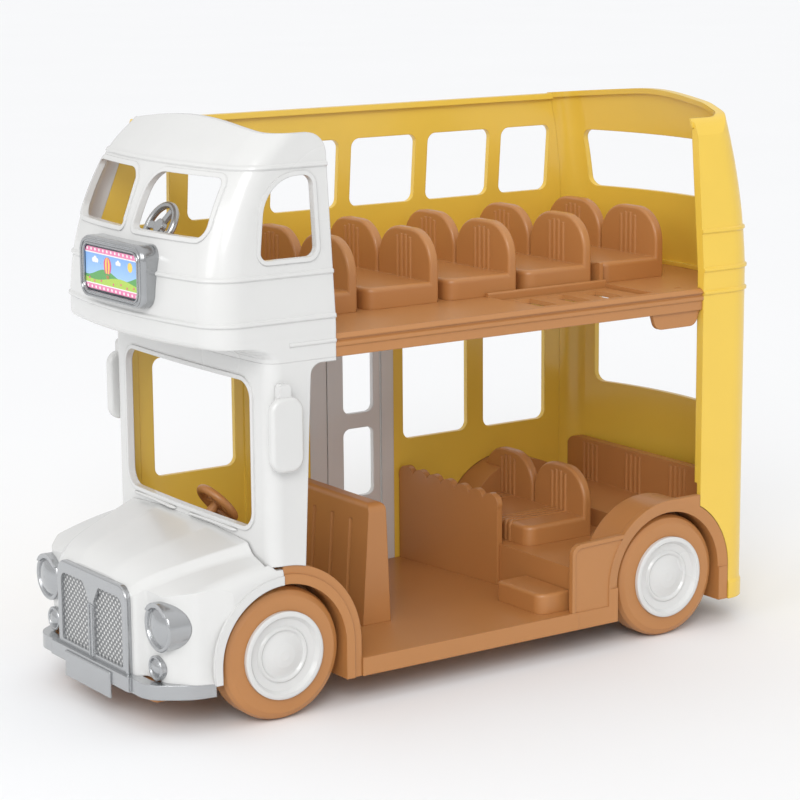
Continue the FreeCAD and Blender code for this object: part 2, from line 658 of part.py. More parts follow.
def front_arch(side):
    """Brown rear half of a front wheel arch, with the wheel well behind it."""
    y0, y1 = sorted((side * HALF_WIDTH, side * (HALF_WIDTH - WELL_DEPTH)))
    solid = arch_ring(0.0, FRONT_ARCH_RADIUS, y0, y1, FLOOR_BOTTOM)
    w0, w1 = sorted((side * (HALF_WIDTH + 1), side * (HALF_WIDTH - WELL_DEPTH + WALL)))
    well = arch_ring(0.0, TYRE_RADIUS + WELL_GAP, w0, w1, FLOOR_BOTTOM - 1)
    s0, s1 = sorted((side * (HALF_WIDTH + 1), side * (HALF_WIDTH - 0.8)))
    band = arch_ring(0.0, FRONT_ARCH_RADIUS - 3.5, s0, s1, FLOOR_BOTTOM - 2)
    step = block(0.0, 40.0, s0, s1, FLOOR_BOTTOM - 1, 99.0).cut(band)
    front = block(-60.0, 0.0, -80.0, 80.0, 0.0, 99.0)
    shaft = rod(AXLE_RADIUS + AXLE_PLAY, 0.0, TYRE_RADIUS, -HALF_WIDTH, HALF_WIDTH)
    return cut(solid, [well, step, front, shaft])


def side_panel():
    """Panel of the platform on the open side; its top follows the arch up to the bench."""
    y0, y1 = -HALF_WIDTH, WALL - HALF_WIDTH
    swell = REAR_ARCH_RADIUS + 0.6
    top = TYRE_RADIUS + swell
    low = prism([(PANEL_X, FLOOR_TOP), (PLATFORM_X, FLOOR_TOP), (PLATFORM_X, FLOOR_BOTTOM),
                 (WHEELBASE, FLOOR_BOTTOM), (WHEELBASE, 50.8), (PANEL_X, 49.2)],
                [0, 0, 0, 0, 0, 5.0], "y", y0, y1)
    over_arch = rod(swell, WHEELBASE, TYRE_RADIUS, y0, y1).common(
        block(WHEELBASE - 40.0, POST_X - 0.2, -80.0, 0.0, TYRE_RADIUS, 99.0))
    beside_bench = block(WHEELBASE, POST_X - 0.2, y0, y1, TYRE_RADIUS, top)
    field = [(PANEL_X + 1.8, FLOOR_TOP), (WHEELBASE, FLOOR_TOP), (WHEELBASE, 49.0), (PANEL_X + 1.8, 47.4)]
    sunk = prism(field, [0, 0, 0, 3.5], "y", y0 - 1.0, y0 + 0.5).cut(
        arch_ring(WHEELBASE, REAR_ARCH_RADIUS, y0 - 2.0, y0 + 1.0, FLOOR_BOTTOM))
    return fuse([low, over_arch, beside_bench]).cut(sunk)


def rear_platform():
    """Brown raised floor over the rear axle, with wheel wells, side panel and bearings."""
    inside = HALF_WIDTH - WALL
    deck = inner_rear(FLOOR_BOTTOM, PLATFORM_TOP, 0.0).common(
        block(PLATFORM_X, REAR_X, -inside, inside, 0.0, 99.0))
    hollow = inner_rear(FLOOR_BOTTOM - 1, PLATFORM_TOP - PLATE, 2.0).common(
        block(PLATFORM_X + PLATE, REAR_X, 2 - inside, inside - 2, 0.0, 99.0))
    skirt = block(PLATFORM_X, WHEELBASE, inside, HALF_WIDTH, FLOOR_BOTTOM, FLOOR_TOP)
    solids = [deck.cut(hollow), side_panel(), skirt]
    wells = [rod(AXLE_RADIUS + AXLE_PLAY, WHEELBASE, TYRE_RADIUS, -HALF_WIDTH, HALF_WIDTH),
             well_taper(WHEELBASE, -1, REAR_ARCH_RADIUS), well_taper(WHEELBASE, 1, REAR_ARCH_RADIUS)]
    for side in (-1, 1):
        y0, y1 = sorted((side * HALF_WIDTH, side * (HALF_WIDTH - WELL_DEPTH)))
        solids.append(arch_ring(WHEELBASE, REAR_ARCH_RADIUS, y0, y1, FLOOR_BOTTOM))
        w0, w1 = sorted((side * (HALF_WIDTH + 1), side * (HALF_WIDTH - WELL_DEPTH + WALL)))
        wells.append(arch_ring(WHEELBASE, TYRE_RADIUS + WELL_GAP, w0, w1, FLOOR_BOTTOM - 1))
        y = side * BEARING_Y
        solids.append(block(WHEELBASE - 6, WHEELBASE + 6, y - 2, y + 2, TYRE_RADIUS - 5, PLATFORM_TOP - 1))
    return cut(fuse(solids), wells)


def step_block():
    """Step up to the platform, its free edges rounded."""
    front, top = PLATFORM_X - 16.5, 28.3
    plan = [(front, -25.5), (front, -56.5), (PLATFORM_X, -56.5), (PLATFORM_X, -25.5)]
    step = prism(plan, [2.0, 5.0, 0, 0], "z", FLOOR_TOP, top)

    def free_top_edge(p):
        at_platform = abs(p.x - PLATFORM_X) < 0.01 and -50.0 < p.y < -30.0
        return abs(p.z - top) < 0.01 and p.x < PLATFORM_X + 0.01 and not at_platform

    return soften(step, 1.5, free_top_edge)


def rear_platform_block():
    return block(PLATFORM_X, REAR_X, -HALF_WIDTH, HALF_WIDTH, FLOOR_BOTTOM, PLATFORM_TOP)


def partition():
    """Low screen across the lower deck with a scalloped top edge."""
    width, count = 66.0, 7
    scallop = width / count / 2.0
    top_far, top_near = 63.6, 60.0
    sheet = [(-width, FLOOR_TOP), (0.0, FLOOR_TOP), (0.0, top_far - scallop), (-width, top_near - scallop)]
    parts = [prism(sheet, 0, "x", 0.0, 3.0)]
    for i in range(count):
        share = (i + 0.5) / count
        z = top_far + (top_near - top_far) * share - scallop
        parts.append(bar(scallop + 0.3, -width * share, z, 0.0, 3.0))
    screen = fuse(parts)
    foot = Vector(PLATFORM_X - 8.8, HALF_WIDTH - WALL - 0.6, 0)
    screen.translate(foot)
    screen.rotate(foot, Vector(0, 0, 1), 6.3)
    return screen.cut(rear_platform_block())


def driver_seat_back():
    """Thick tapered slab behind the driver, fluted in front, its top corners rounded."""
    top = 71.5
    side = [(61.8, FLOOR_TOP), (75.9, FLOOR_TOP), (73.8, top), (65.4, top)]
    slab = prism(side, [0, 0, 2.5, 2.5], "y", -25.0, 58.0)
    slab = slab.common(prism([(-25.0, FLOOR_TOP), (58.0, FLOOR_TOP), (58.0, top), (-25.0, top)],
                             [0, 0, 4.0, 4.0], "x", 50.0, 90.0))
    slope = math.degrees(math.atan2(65.4 - 61.8, top - FLOOR_TOP))
    grooves = []
    for k in range(5):
        groove = Part.makeCylinder(1.4, 36.0, Vector(0, 0, 0))
        groove.rotate(Vector(0, 0, 0), Vector(0, 1, 0), slope)
        groove.translate(Vector(61.8 + 0.069 * 8.0 - 0.6, -12.0 + 14.0 * k, FLOOR_TOP + 8.0))
        grooves.append(groove)
    return cut(slab, grooves)


def flute_offsets():
    return [(k - (FLUTES - 1) / 2.0) * FLUTE_PITCH for k in range(FLUTES)]


def fluted_back(width):
    """Round topped back with softened edges and raised flutes, its rear face at x = 0."""
    half = width / 2.0
    outline = [(-half, 0.0), (half, 0.0), (half, SEAT_HEIGHT), (-half, SEAT_HEIGHT)]
    back = prism(outline, [0, 0, SEAT_TOP_RADIUS, SEAT_TOP_RADIUS], "x", -SEAT_BACK, 0.0)
    back = soften(back, SEAT_EDGE, lambda p: p.z > CUSHION_HEIGHT or abs(abs(p.y) - half) < 0.01)
    parts = [back]
    for offset in flute_offsets():
        height = SEAT_HEIGHT - 2.4 - 0.3 * abs(offset) - CUSHION_HEIGHT + 1.0
        foot = Vector(-SEAT_BACK + 0.35, offset, CUSHION_HEIGHT - 1.0)
        parts.append(Part.makeCylinder(FLUTE_RADIUS, height, foot))
    return fuse(parts)


def twin_seat(width, cushion_flutes):
    """Two round topped backs on one wide cushion; rear face at x = 0, near side at y = 0."""
    total = 2 * width + SEAT_SLIT
    plan = [(-SEAT_DEPTH, 0.0), (-1.0, 0.0), (-1.0, total), (-SEAT_DEPTH, total)]
    cushion = prism(plan, [5.0, 0, 0, 5.0], "z", 0.0, CUSHION_HEIGHT)
    cushion = soften(cushion, 2.0, lambda p: p.z > CUSHION_HEIGHT - 0.01 and (
        p.x < -2.0 or p.y in (0.0, total)))
    parts = [cushion]
    for i in range(2):
        y = width * (i + 0.5) + SEAT_SLIT * i
        back = fluted_back(width)
        back.translate(Vector(0, y, 0))
        parts.append(back)
        if cushion_flutes:
            side = [(-SEAT_DEPTH - 0.5, 0.0), (-SEAT_BACK, 0.0), (-SEAT_BACK, CUSHION_HEIGHT + 0.5),
                    (-SEAT_DEPTH - 0.5, CUSHION_HEIGHT + 0.5)]
            for offset in flute_offsets():
                parts.append(prism(side, [0, 0, 0, 2.5], "y", y + offset - 0.8, y + offset + 0.8))
    return fuse(parts)


def lower_twin_seat():
    """Twin seat of the lower deck, notched over the far wheel arch."""
    seat = twin_seat(LOWER_SEAT_WIDTH, True)
    seat.translate(Vector(WHEELBASE - 7.7, -18.0, PLATFORM_TOP))
    return seat.cut(arch_ring(WHEELBASE, REAR_ARCH_RADIUS, HALF_WIDTH - WELL_DEPTH, HALF_WIDTH, FLOOR_BOTTOM))


def rear_bench():
    """Bench across the back of the lower deck with three fluted groups on its back."""
    front, back_x = WHEELBASE + 3.8, REAR_X - 13.0
    seat = inner_rear(PLATFORM_TOP, BENCH_TOP, 0.3).common(block(front, back_x + 1, -80.0, 80.0, 0.0, 99.0))
    outline = [(-80.0, PLATFORM_TOP), (HALF_WIDTH - WALL - 0.3, PLATFORM_TOP),
               (HALF_WIDTH - WALL - 0.3, BENCH_HIGH), (-80.0, BENCH_HIGH)]
    back = inner_rear(PLATFORM_TOP, BENCH_HIGH, 0.3).common(
        prism(outline, [0, 0, 7.0, 0], "x", back_x - BENCH_BACK, back_x))
    parts = [seat, back]
    for group in (41.5, 10.0, -21.5):
        for offset in flute_offsets():
            foot = Vector(back_x - BENCH_BACK + 0.35, group + offset, BENCH_TOP - 1.0)
            parts.append(Part.makeCylinder(FLUTE_RADIUS, BENCH_HIGH - BENCH_TOP - 0.8, foot))
    wells = [arch_ring(WHEELBASE, REAR_ARCH_RADIUS, y0, y0 + 25.0, FLOOR_BOTTOM)
             for y0 in (-HALF_WIDTH - 6, HALF_WIDTH - WELL_DEPTH)]
    side = block(150.0, REAR_X + 9, -80.0, WALL - HALF_WIDTH, 0.0, 99.0)
    return cut(fuse(parts), wells + [side])


def deck_edge():
    """Cross outline of the moulded edge of the upper deck on the open side."""
    y = -HALF_WIDTH
    return [(y, DECK_TOP - 1.5), (y + 1.5, DECK_TOP), (y + 2.5, DECK_TOP), (y + 2.5, DECK_BOTTOM),
            (y + 0.8, DECK_BOTTOM), (y + 0.8, DECK_BOTTOM + 3.8), (y, DECK_BOTTOM + 4.4),
            (y, DECK_BOTTOM + 5.8), (y + 0.8, DECK_BOTTOM + 6.4), (y + 0.8, DECK_BOTTOM + 7.2),
            (y, DECK_BOTTOM + 7.2)]


def upper_deck():
    """Brown floor of the upper deck: plate, moulded edge on the open side, stair opening."""
    inner = HALF_WIDTH - WALL
    low = DECK_TOP - PLATE
    rear = inner_rear(low, DECK_TOP, 0.0).common(block(POST_X - 60.0, REAR_X, -inner, inner, 0.0, 200.0))
    middle = block(SHELL_REAR_X, POST_X, -HALF_WIDTH + 2.0, inner, low, DECK_TOP)
    front = block(CAB_FRONT_X + WALL, SHELL_REAR_X, -inner, inner, low, DECK_TOP)
    fascia = prism(deck_edge(), 0, "x", SHELL_REAR_X, POST_X)
    skirt_far = block(SHELL_REAR_X, REAR_X - JOINT_AHEAD, inner - 2.0, inner, DECK_BOTTOM, DECK_TOP - 1)
    rim = block(HATCH_X0 - HATCH_RIM, HATCH_X1 + HATCH_RIM, HATCH_Y0 - HATCH_RIM, HATCH_Y1 + HATCH_RIM,
                low - HATCH_RIM, low)
    tab = prism([(188.0, DECK_BOTTOM + 1), (215.3, DECK_BOTTOM + 1), (212.8, 137.0), (190.5, 137.0)],
                [0, 0, 4.5, 4.5], "y", -60.5, -58.5)
    tab.translate(Vector(POST_X - 215.5, 0, 0))
    deck = fuse([rear, middle, front, fascia, skirt_far, rim, tab])
    opening = block(HATCH_X0, HATCH_X1, HATCH_Y0, HATCH_Y1, 100.0, 200.0)
    slot = block(POST_X - 8.6, POST_X - 4.6, -53.6, -52.4, DECK_TOP - 1.0, DECK_TOP + 1.0)
    deck = cut(deck, [opening, slot, hatch_pin(PIN_RADIUS + PIN_PLAY, PIN_REACH + 0.3)])
    rail = prism(rectangle(HATCH_Y1, HATCH_Y1 + 2.2, DECK_TOP - 0.5, DECK_TOP + 1.8), [0, 0, 0.8, 0.8],
                 "x", HATCH_X0 - 1, HATCH_X1 + 0.5)
    fin = prism(rectangle(HATCH_Y1 + 0.4, HATCH_Y1 + 8.4, DECK_TOP - 0.5, DECK_TOP + 9.4),
                [0, 0, 6.5, 0.8], "x", HATCH_X1 - 3.0, HATCH_X1 - 1.0)
    return fuse([deck, rail, fin])


def hatch_pin(radius, reach):
    """Pin across the bus on the hatch's hinge line, standing out past both its sides."""
    x = HATCH_X0 + HATCH_GAP + HATCH_THICK / 2.0
    return rod(radius, x, HATCH_LOW + HATCH_THICK / 2.0, HATCH_Y0 + HATCH_GAP - reach,
               HATCH_Y1 - HATCH_GAP + reach)


def stair_hatch():
    """Flap with three slots between its treads, hinged at its front edge."""
    x0, x1 = HATCH_X0 + HATCH_GAP, HATCH_X1 - HATCH_GAP
    y0, y1 = HATCH_Y0 + HATCH_GAP, HATCH_Y1 - HATCH_GAP
    round_edge = HATCH_THICK / 2.0 - 0.01
    flap = prism(rectangle(x0, x1, HATCH_LOW, HATCH_LOW + HATCH_THICK), [round_edge, 0, 0, round_edge],
                 "y", y0, y1)
    pitch = HATCH_LENGTH * 2.0 / 7.0
    slots = [block(HATCH_X0 + 8.5 + pitch * i, HATCH_X0 + 8.5 + pitch * i + HATCH_SLOT, y0 + 4.0, y1 - 4.0,
                   HATCH_LOW - 1.0, DECK_TOP) for i in range(3)]
    return cut(flap, slots).fuse(hatch_pin(PIN_RADIUS, PIN_REACH))


def door_frame():
    """White jambs, sill and head round the passenger door."""
    y1 = HALF_WIDTH
    outer = block(DOOR_X0, DOOR_X1, y1 - WALL, y1, FLOOR_TOP, DOOR_TOP)
    hole = block(LEAF_X0 - LEAF_GAP, LEAF_X1 + LEAF_GAP, 40.0, 80.0,
                 LEAF_LOW - LEAF_GAP, LEAF_HIGH + LEAF_GAP)
    return cut(outer, [hole, hinge_pin(PIN_RADIUS + PIN_PLAY, PIN_REACH + 0.3)])


def hinge_pin(radius, reach):
    """Upright pin on the door's hinge line, standing out past both ends of the leaf."""
    foot = Vector(LEAF_X1 - WALL / 2.0, HALF_WIDTH - WALL / 2.0, LEAF_LOW - reach)
    return Part.makeCylinder(radius, LEAF_HIGH - LEAF_LOW + 2.0 * reach, foot)


def door_leaf():
    """Passenger door with two lights, its hinge edge rounded about the pin."""
    plan = rectangle(LEAF_X0, LEAF_X1, HALF_WIDTH - WALL, HALF_WIDTH)
    leaf = prism(plan, [0, WALL / 2.0 - 0.01, WALL / 2.0 - 0.01, 0], "z", LEAF_LOW, LEAF_HIGH)
    windows = [prism(rectangle(LEAF_X0 + 8.4, LEAF_X1 - 4.2, z0, z1), 3.5, "y", 40.0, 80.0)
               for z0, z1 in ((51.6, 83.4), (90.3, 127.0))]
    return cut(leaf, windows).fuse(hinge_pin(PIN_RADIUS, PIN_REACH))


def tyre(x, side):
    """Plain tyre with a chamfered shoulder."""
    half = TYRE_WIDTH / 2.0
    inner = HUB_RADIUS
    profile = [(inner, -half), (TYRE_RADIUS - 2.6, -half), (TYRE_RADIUS, -half + 2.6),
               (TYRE_RADIUS, half - 3.2), (TYRE_RADIUS - 1.0, half - 1.2), (TYRE_RADIUS - 3.2, half),
               (inner, half)]
    points = [Vector(r, side * y, 0) for r, y in profile]
    ring = Part.Face(Part.makePolygon(points + points[:1])).revolve(Vector(0, 0, 0), Vector(0, 1, 0), 360)
    ring.translate(Vector(x, side * (HALF_WIDTH - HUB_PROUD - half), TYRE_RADIUS))
    return ring


def hub(x, side):
    """Wheel centre with a raised rim, a ring and a domed boss, pressed on the axle."""
    profile = [(AXLE_RADIUS, -TYRE_WIDTH), (HUB_RADIUS, -TYRE_WIDTH), (HUB_RADIUS, -0.4),
               (HUB_RADIUS - 0.8, 0.0), (HUB_RADIUS - 2.0, 0.0), (HUB_RADIUS - 3.2, -1.8), (11.6, -2.4),
               (10.9, -1.6), (10.2, -1.6), (9.4, -2.4), (8.4, -2.2), (5.0, -1.0), (AXLE_RADIUS, -0.5)]
    points = [Vector(r, y, 0) for r, y in profile]
    solid = Part.Face(Part.makePolygon(points + points[:1])).revolve(Vector(0, 0, 0), Vector(0, 1, 0), 360)
    cap = Part.makeCylinder(AXLE_RADIUS, 0.5, Vector(0, -1.0, 0), Vector(0, 1, 0))
    solid = solid.fuse(cap)
    if side < 0:
        solid = flip(solid)
    solid.translate(Vector(x, side * HALF_WIDTH, TYRE_RADIUS))
    return solid


def axle(x):
    reach = HALF_WIDTH - 1.0
    return rod(AXLE_RADIUS, x, TYRE_RADIUS, -reach, reach)


def grille():
    """Silver radiator: framed panel with two mesh openings and a ridged centre bar."""
    front = NOSE_X - GRILLE_DEPTH
    frame = prism(rectangle(-GRILLE_HALF, GRILLE_HALF, BUMPER_HIGH, GRILLE_HIGH), [0, 0, 6.0, 6.0],
                  "x", front, NOSE_X)
    frame = soften(frame, 0.9, lambda p: abs(p.x - front) < 0.01 and p.z > BUMPER_HIGH + 1.0)
    tools = []
    for side in (-1, 1):
        outer, inner = side * (GRILLE_HALF - 3.5), side * 2.0
        field = [(outer, BUMPER_HIGH + 2.0), (inner, BUMPER_HIGH + 2.0), (inner, GRILLE_HIGH - 12.0),
                 (side * 6.5, GRILLE_HIGH - 5.0), (outer, GRILLE_HIGH - 5.0)]
        tools.append(prism(field, [1.0, 1.0, 2.0, 2.0, 4.0], "x", front - 1.0, NOSE_X + 1.0))
    ridges = [block(front - 0.6, front + 0.5, y - 0.5, y + 0.5, BUMPER_HIGH + 0.8, GRILLE_HIGH - 13.0)
              for y in (-1.3, 1.3)]
    return cut(fuse([frame] + ridges), tools)


def lamp_solid(radius, lens, proud, depth):
    """Lamp about the X axis, its wing face at x = 0: rounded bezel, groove and domed lens."""
    rim = radius - 1.0
    sphere = (lens ** 2 + proud ** 2) / (2.0 * proud)
    half = math.asin(lens / sphere) / 2.0
    middle = Vector(sphere * (1.0 - math.cos(half)) - 1.5 * proud, sphere * math.sin(half), 0)
    edges = [Part.LineSegment(Vector(depth, 0, 0), Vector(depth, radius, 0)).toShape(),
             Part.LineSegment(Vector(depth, radius, 0), Vector(-0.4 * proud, radius, 0)).toShape(),
             Part.Arc(Vector(-0.4 * proud, radius, 0), Vector(-proud, rim, 0),
                      Vector(-0.5 * proud, lens, 0)).toShape(),
             Part.Arc(Vector(-0.5 * proud, lens, 0), middle, Vector(-1.5 * proud, 0, 0)).toShape(),
             Part.LineSegment(Vector(-1.5 * proud, 0, 0), Vector(depth, 0, 0)).toShape()]
    return Part.Face(Part.Wire(edges)).revolve(Vector(0, 0, 0), Vector(1, 0, 0), 360)


def headlamp(side, wing):
    """Round silver lamp with a short visor over its domed lens, seated on the wing."""
    lamp = lamp_solid(LAMP_RADIUS, LAMP_RADIUS - 1.9, 2.2, 13.0)
    visor = bar(LAMP_RADIUS, 0.0, 0.0, -2.6, 1.0).cut(bar(LAMP_RADIUS - 1.5, 0.0, -0.5, -4.0, 2.0))
    visor = visor.common(block(-4.0, 2.0, -20.0, 20.0, 5.5, 20.0))
    lamp = lamp.fuse(visor)
    lamp.translate(Vector(WING_FRONT_X, side * LAMP_Y, LAMP_Z))
    return largest(lamp.cut(wing))


def fog_lamp(side, wing):
    """Small round lamp on the wing above the bumper."""
    lamp = lamp_solid(FOG_RADIUS, FOG_RADIUS - 1.2, 1.5, 8.0)
    lamp.translate(Vector(WING_FRONT_X, side * FOG_Y, FOG_Z))
    return largest(lamp.cut(wing))


def largest(shape):
    return max(shape.Solids, key=lambda solid: solid.Volume)


def bumper():
    """Silver bumper that follows the nose in plan, stepped forward beside the plate."""
    height = BUMPER_HIGH - BUMPER_LOW
    ring = upright(bumper_plan(0.0, BUMPER_LOW), height)
    middle = upright(bumper_plan(1.0, BUMPER_LOW), height)
    middle = middle.common(block(-70.0, -30.0, -BUMPER_MIDDLE, BUMPER_MIDDLE, 0.0, 99.0))
    wheel_side = block(-TYRE_RADIUS - WELL_GAP, 30.0, -80.0, 80.0, 0.0, 99.0)
    return cut(ring.fuse(middle), [behind_bumper(), wheel_side])


def number_plate():
    plate = block(PLATE_X, BUMPER_X - 1.0, -PLATE_HALF, PLATE_HALF, 8.6, 19.4)
    return soften(plate, 0.6, lambda p: abs(p.x - PLATE_X) < 0.01)


def mirror(side):
    """Paddle mirror with softened edges on a short arm from the cab pillar."""
    near = HALF_WIDTH + MIRROR_GAP
    paddle = prism(rectangle(-7.3, 7.3, 101.8, 131.3), 5.5, "y", near, near + MIRROR_THICK)
    faces = (near, near + MIRROR_THICK)
    paddle = fillet_rims(paddle, 1.6, faces)
    arm = prism(rectangle(-3.0, 2.5, 127.0, 136.5), 2.0, "y", HALF_WIDTH, near + 2.6)
    both = paddle.fuse(arm)
    return both if side > 0 else flip(both)


def fillet_rims(shape, radius, faces):
    """Round the edges that lie wholly in one of the planes y = faces."""
    edges = []
    for edge in shape.Edges:
        for y in faces:
            if all(abs(corner.Y - y) < 0.01 for corner in edge.Vertexes):
                edges.append(edge)
    return shape.makeFillet(radius, edges)


def sign_frame(shell_front):
    """Silver frame of the destination sign, seated on the bowed front."""
    outer = prism(rectangle(-26.0, 26.0, SIGN_LOW, SIGN_HIGH), 6.0,
                  "x", SIGN_FRONT_X, shell_nose(SIGN_HIGH) + 4.0)
    outer = soften(outer, 2.0, lambda p: abs(p.x - SIGN_FRONT_X) < 0.01)
    window = prism(rectangle(-21.8, 21.8, SIGN_LOW + 3.2, SIGN_HIGH - 3.4), 3.5,
                   "x", SIGN_FRONT_X - 2.0, SIGN_FRONT_X + 1.3)
    return cut(outer, [window, shell_front, shell_bead(SHELL_BEADS[1]), shell_bead(SHELL_BEADS[0])])


def sign_panel():
    """Card of the sign, resting in the frame's recess."""
    return prism(rectangle(-21.5, 21.5, SIGN_LOW + 3.5, SIGN_HIGH - 3.7), 3.3,
                 "x", SIGN_FRONT_X + 0.7, SIGN_FRONT_X + 1.3)


def ring_wheel(radius, tube, tilt):
    """Steering wheel about the origin: rim, three spokes and hub, tipped about Y."""
    parts = [Part.makeTorus(radius, tube), Part.makeCylinder(3.0, 2.4, Vector(0, 0, -1.2))]
    for k in range(3):
        spoke = block(0.0, radius, -1.5, 1.5, -0.8, 0.8)
        spoke.rotate(Vector(0, 0, 0), Vector(0, 0, 1), 90 + 120 * k)
        parts.append(spoke)
    wheel = fuse(parts)
    wheel.rotate(Vector(0, 0, 0), Vector(0, 1, 0), tilt)
    return wheel


def steering_wheel():
    """Driver's wheel on a column that stands on the floor."""
    column = Part.makeCylinder(2.0, 18.0, Vector(0, 0, -18.0))
    column.rotate(Vector(0, 0, 0), Vector(0, 1, 0), 50.0)
    wheel = fuse([ring_wheel(9.0, 1.9, 50.0), column])
    wheel.translate(Vector(21.0, 24.0, 69.0))
    return wheel.fuse(block(5.0, 11.0, 20.0, 28.0, FLOOR_TOP, 58.0))


def upper_wheel():
    """Silver play wheel on a post behind the upper front sill."""
    wheel = ring_wheel(9.5, 1.5, -60.0)
    wheel.translate(Vector(-12.0, 8.0, FRONT_WINDOW_LOW - 2.0))
    return wheel.fuse(block(-14.0, -9.0, 5.5, 10.5, SHELL_FLOOR, FRONT_WINDOW_LOW - 4.0))


def main():
    os.makedirs("parts", exist_ok=True)
    wing = bonnet_form(0.0)
    save(upper_shell(), "upper_shell")
    save(cab(), "cab_frame")
    save(bonnet(wing), "bonnet")
    save(far_wall(), "far_wall")
    save(rear_wall(), "rear_wall")
    save(floor_pan(), "floor_pan")
    save(rear_platform(), "rear_platform")
    save(step_block(), "step")
    save(partition(), "scalloped_partition")
    save(driver_seat_back(), "driver_seat_back")
    save(rear_bench(), "rear_bench")
    save(upper_deck(), "upper_deck")
    save(stair_hatch(), "stair_hatch")
    save(door_frame(), "door_frame")
    save(door_leaf(), "door_leaf")
    save(lower_twin_seat(), "lower_twin_seat")
    seat = twin_seat(SEAT_WIDTH, False)
    for i in range(ROWS):
        row = seat.copy()
        x = FIRST_ROW_X + (LAST_ROW_X - FIRST_ROW_X) * i / (ROWS - 1)
        row.translate(Vector(x, -22.5, DECK_TOP))
        save(row, "upper_seat_%d" % (i + 1))
    for x, end in ((0.0, "front"), (WHEELBASE, "rear")):
        save(axle(x), end + "_axle")
        for side, name in ((-1, "near"), (1, "far")):
            save(tyre(x, side), "tyre_%s_%s" % (end, name))
            save(hub(x, side), "hub_%s_%s" % (end, name))
    for side, name in ((-1, "near"), (1, "far")):
        save(front_arch(side), "front_arch_" + name)
        save(headlamp(side, wing), "headlamp_" + name)
        save(fog_lamp(side, wing), "fog_lamp_" + name)
        save(mirror(side), "mirror_" + name)
    save(grille(), "grille")
    save(bumper(), "bumper")
    save(number_plate(), "number_plate")
    save(sign_frame(shell_solid(0.0, SHELL_LOW, SHELL_REAR_X)), "sign_frame")
    save(sign_panel(), "sign_panel")
    save(steering_wheel(), "steering_wheel")
    save(upper_wheel(), "upper_wheel")


main()
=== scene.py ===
import json
import math

import bpy
from mathutils import Matrix, Vector
from mathutils.geometry import tessellate_polygon


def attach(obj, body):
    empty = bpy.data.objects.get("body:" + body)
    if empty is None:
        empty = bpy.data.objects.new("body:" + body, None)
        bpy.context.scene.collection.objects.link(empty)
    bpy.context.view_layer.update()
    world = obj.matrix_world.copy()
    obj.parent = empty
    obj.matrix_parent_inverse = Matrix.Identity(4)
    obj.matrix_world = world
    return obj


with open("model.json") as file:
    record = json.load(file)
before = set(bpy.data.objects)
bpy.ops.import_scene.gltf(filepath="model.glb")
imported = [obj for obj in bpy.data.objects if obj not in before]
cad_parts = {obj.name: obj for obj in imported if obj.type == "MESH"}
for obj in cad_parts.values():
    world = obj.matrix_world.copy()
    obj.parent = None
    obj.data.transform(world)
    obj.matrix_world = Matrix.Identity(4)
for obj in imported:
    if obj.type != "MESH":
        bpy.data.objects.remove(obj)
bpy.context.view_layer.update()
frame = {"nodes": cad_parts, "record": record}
nodes = frame["nodes"]

MM = 0.001
MID_X = 100.15


def place(x, y, z):
    """A point in metres, from millimetres counted from the front axle, the middle and the ground."""
    return Vector(((x - MID_X) * MM, y * MM, z * MM))


# Materials. Texture scales are counted per metre, and lengths are in metres.
MOTTLE_SCALE = 35.0
SCUFF_SCALE = 260.0
HANDLED_SCALE = 9.0
FINE_SCALE = 900.0
EDGE_RADIUS = 0.0006
GRAIN_HEIGHT = 0.00002
SPECKLE_SCALE = 2200.0
PATCH_SCALE = 120.0
INK_HEIGHT = 0.00001
PAPER_SCALE = 3.0


def new_material(name):
    """An empty material: its node tree and the shader that makes its surface."""
    mat = bpy.data.materials.new(name)
    mat.use_nodes = True
    tree = mat.node_tree
    tree.nodes.clear()
    out = tree.nodes.new("ShaderNodeOutputMaterial")
    bsdf = tree.nodes.new("ShaderNodeBsdfPrincipled")
    tree.links.new(bsdf.outputs["BSDF"], out.inputs["Surface"])
    return mat, tree, bsdf


def object_coords(tree):
    return tree.nodes.new("ShaderNodeTexCoord").outputs["Object"]


def noise(tree, coords, scale, detail=2.0):
    node = tree.nodes.new("ShaderNodeTexNoise")
    node.inputs["Scale"].default_value = scale
    node.inputs["Detail"].default_value = detail
    tree.links.new(coords, node.inputs["Vector"])
    return node.outputs["Fac"]


def ramp(tree, source, low, high, out_low, out_high):
    """A value between low and high, mapped on the way from out_low to out_high."""
    node = tree.nodes.new("ShaderNodeMapRange")
    node.inputs["From Min"].default_value = low
    node.inputs["From Max"].default_value = high
    node.inputs["To Min"].default_value = out_low
    node.inputs["To Max"].default_value = out_high
    tree.links.new(source, node.inputs["Value"])
    return node.outputs["Result"]


def mix(tree, factor, a, b):
    """Colour a where the factor is 0 and colour b where it is 1; each is a fixed colour or a socket."""
    node = tree.nodes.new("ShaderNodeMix")
    node.data_type = "RGBA"
    for value, socket in ((a, node.inputs[6]), (b, node.inputs[7])):
        if isinstance(value, tuple):
            socket.default_value = value
        else:
            tree.links.new(value, socket)
    tree.links.new(factor, node.inputs[0])
    return node.outputs[2]


def tint(colour, amount):
    return tuple(min(1.0, c * amount) for c in colour[:3]) + (1.0,)


def mottled(tree, factor, colour, darker, paler):
    """A colour that wanders between a darker and a paler tint."""
    return mix(tree, factor, tint(colour, darker), tint(colour, paler))


def height_of(tree, vector):
    split = tree.nodes.new("ShaderNodeSeparateXYZ")
    tree.links.new(vector, split.inputs["Vector"])
    return split.outputs["Z"]


def bump(tree, source, strength, distance):
    node = tree.nodes.new("ShaderNodeBump")
    node.inputs["Strength"].default_value = strength
    node.inputs["Distance"].default_value = distance
    tree.links.new(source, node.inputs["Height"])
    return node


